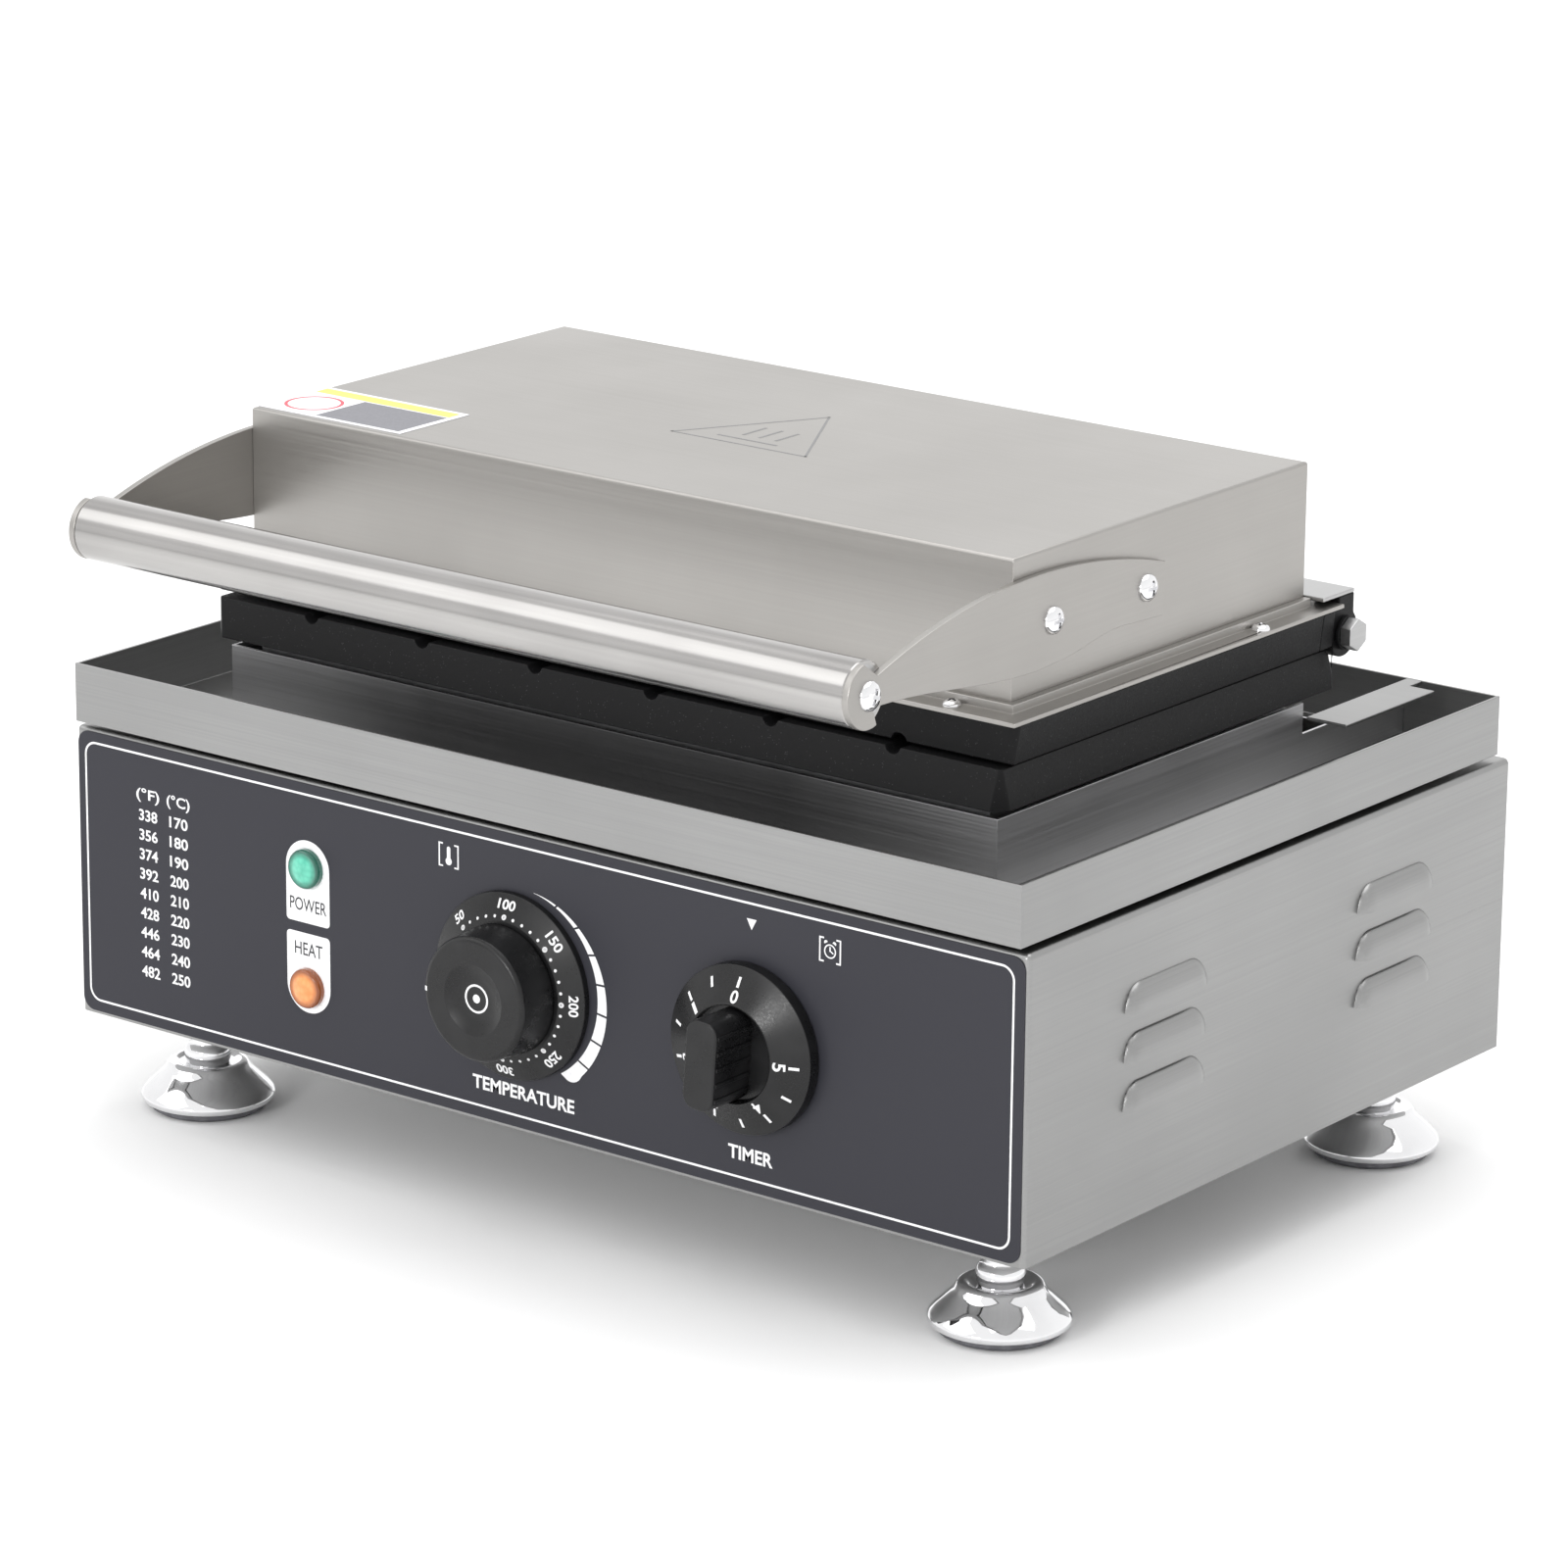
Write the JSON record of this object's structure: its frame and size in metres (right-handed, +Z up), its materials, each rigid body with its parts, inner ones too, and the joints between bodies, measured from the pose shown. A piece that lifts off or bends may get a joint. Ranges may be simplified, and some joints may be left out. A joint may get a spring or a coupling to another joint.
{
  "type": "waffle maker",
  "caption": "Countertop electric waffle maker for waffles on sticks: hinged lid with a front handle, drip tray, two dials and levelling feet.",
  "frame": {"origin": "on the table, under the centre of the outer box", "axes": "+X to the right along the front, +Y to the back, +Z up"},
  "size_m": [0.4172, 0.344, 0.2537],
  "materials": {
    "body_steel": "fine horizontal brushed stainless steel, satin",
    "lid_steel": "fine brushed stainless steel, warm satin",
    "tray_steel": "brushed stainless steel with bright cut edges",
    "skirt_steel": "bare bright rolled steel, slightly mottled",
    "plain_steel": "plain bright sheet or turned steel",
    "overlay": null,
    "cast_coated": "cast aluminium with black non-stick coating, fine speckle",
    "cast_bare": "bare sand-cast aluminium",
    "knob_plastic": "black moulded phenolic, satin to gloss",
    "lamp_green": "translucent green lens",
    "lamp_orange": "translucent orange lens",
    "chrome": "polished chrome plate",
    "polished_steel": "polished stainless steel tube",
    "pad_rubber": "dark grey rubber",
    "insulation": "mineral wool board",
    "heater_sheath": "oxidised heater sheath",
    "mechanism_case": "brown moulded case",
    "copper": "copper tube",
    "terminal_ceramic": "glazed ceramic",
    "wire_sleeve": "glass-fibre sleeve",
    "gland_plastic": "black nylon",
    "conduit_steel": "interlocked flexible steel conduit",
    "label_film": "printed film, text-free"
  },
  "bodies": {
    "base": {"base_shell": "body_steel", "back_panel": "body_steel", "bottom_plate": "plain_steel", "control_overlay": "overlay", "drip_tray": "tray_steel", "heater_skirt": "skirt_steel", "duct_cover": "tray_steel", "plate_pillars": "plain_steel", "lower_plate": "cast_coated", "lower_heater_bed": "cast_bare", "lower_heater": "heater_sheath", "lower_heater_clamp": "plain_steel", "lower_insulation": "insulation", "temperature_bezel": "knob_plastic", "thermostat": "mechanism_case", "thermostat_capillary": "copper", "timer_mechanism": "mechanism_case", "power_lamp": "lamp_green", "heat_lamp": "lamp_orange", "terminal_block": "terminal_ceramic", "base_wiring": "wire_sleeve", "cable_gland": "gland_plastic", "gland_nut": "gland_plastic", "panel_screws": "chrome", "foot_weld_nuts": "plain_steel", "foot_lock_nuts": "chrome", "hinge_bolts": "plain_steel", "hinge_washers": "cast_coated", "hinge_nuts": "plain_steel", "base_conduit_fitting": "chrome", "lid_conduit": "conduit_steel"},
    "lid": {"upper_plate": "cast_coated", "upper_hinge_ears": "cast_coated", "upper_heater_bed": "cast_bare", "upper_heater": "heater_sheath", "upper_heater_clamp": "plain_steel", "upper_insulation": "insulation", "lid_flange": "lid_steel", "lid_box": "lid_steel", "lid_label": "label_film", "hinge_strip": "plain_steel", "handle_tube": "polished_steel", "handle_end_plugs": "plain_steel", "handle_arm_left": "lid_steel", "handle_arm_right": "lid_steel", "handle_screws": "chrome", "arm_screws": "chrome", "flange_screws": "chrome", "lid_conduit_fitting": "chrome"},
    "temperature_dial": {"temperature_knob": "knob_plastic", "temperature_shaft": "plain_steel"},
    "timer_dial": {"timer_knob": "knob_plastic", "timer_shaft": "plain_steel"},
    "levelling_foot_front_left": {"foot_front_left": "chrome", "pad_front_left": "pad_rubber"},
    "levelling_foot_front_right": {"foot_front_right": "chrome", "pad_front_right": "pad_rubber"},
    "levelling_foot_rear_left": {"foot_rear_left": "chrome", "pad_rear_left": "pad_rubber"},
    "levelling_foot_rear_right": {"foot_rear_right": "chrome", "pad_rear_right": "pad_rubber"}
  },
  "joints": [
    {"name": "lid_hinge", "type": "hinge", "parent": "base", "child": "lid", "pos_m": [0, 0.1, 0.1925], "axis": [-1, 0, 0], "range_deg": [0, 95], "deforming": ["lid_conduit"]},
    {"name": "temperature_turn", "type": "hinge", "parent": "base", "child": "temperature_dial", "pos_m": [-0.0052, -0.139, 0.0883], "axis": [0, 1, 0], "range_deg": [0, 270]},
    {"name": "timer_turn", "type": "hinge", "parent": "base", "child": "timer_dial", "pos_m": [0.0945, -0.139, 0.0883], "axis": [0, 1, 0], "range_deg": [0, 270]},
    {"name": "level_front_left", "type": "slide", "parent": "base", "child": "levelling_foot_front_left", "axis": [0, 0, -1], "range_m": [0, 0.008]},
    {"name": "level_front_right", "type": "slide", "parent": "base", "child": "levelling_foot_front_right", "axis": [0, 0, -1], "range_m": [0, 0.008]},
    {"name": "level_rear_left", "type": "slide", "parent": "base", "child": "levelling_foot_rear_left", "axis": [0, 0, -1], "range_m": [0, 0.008]},
    {"name": "level_rear_right", "type": "slide", "parent": "base", "child": "levelling_foot_rear_right", "axis": [0, 0, -1], "range_m": [0, 0.008]}
  ]
}
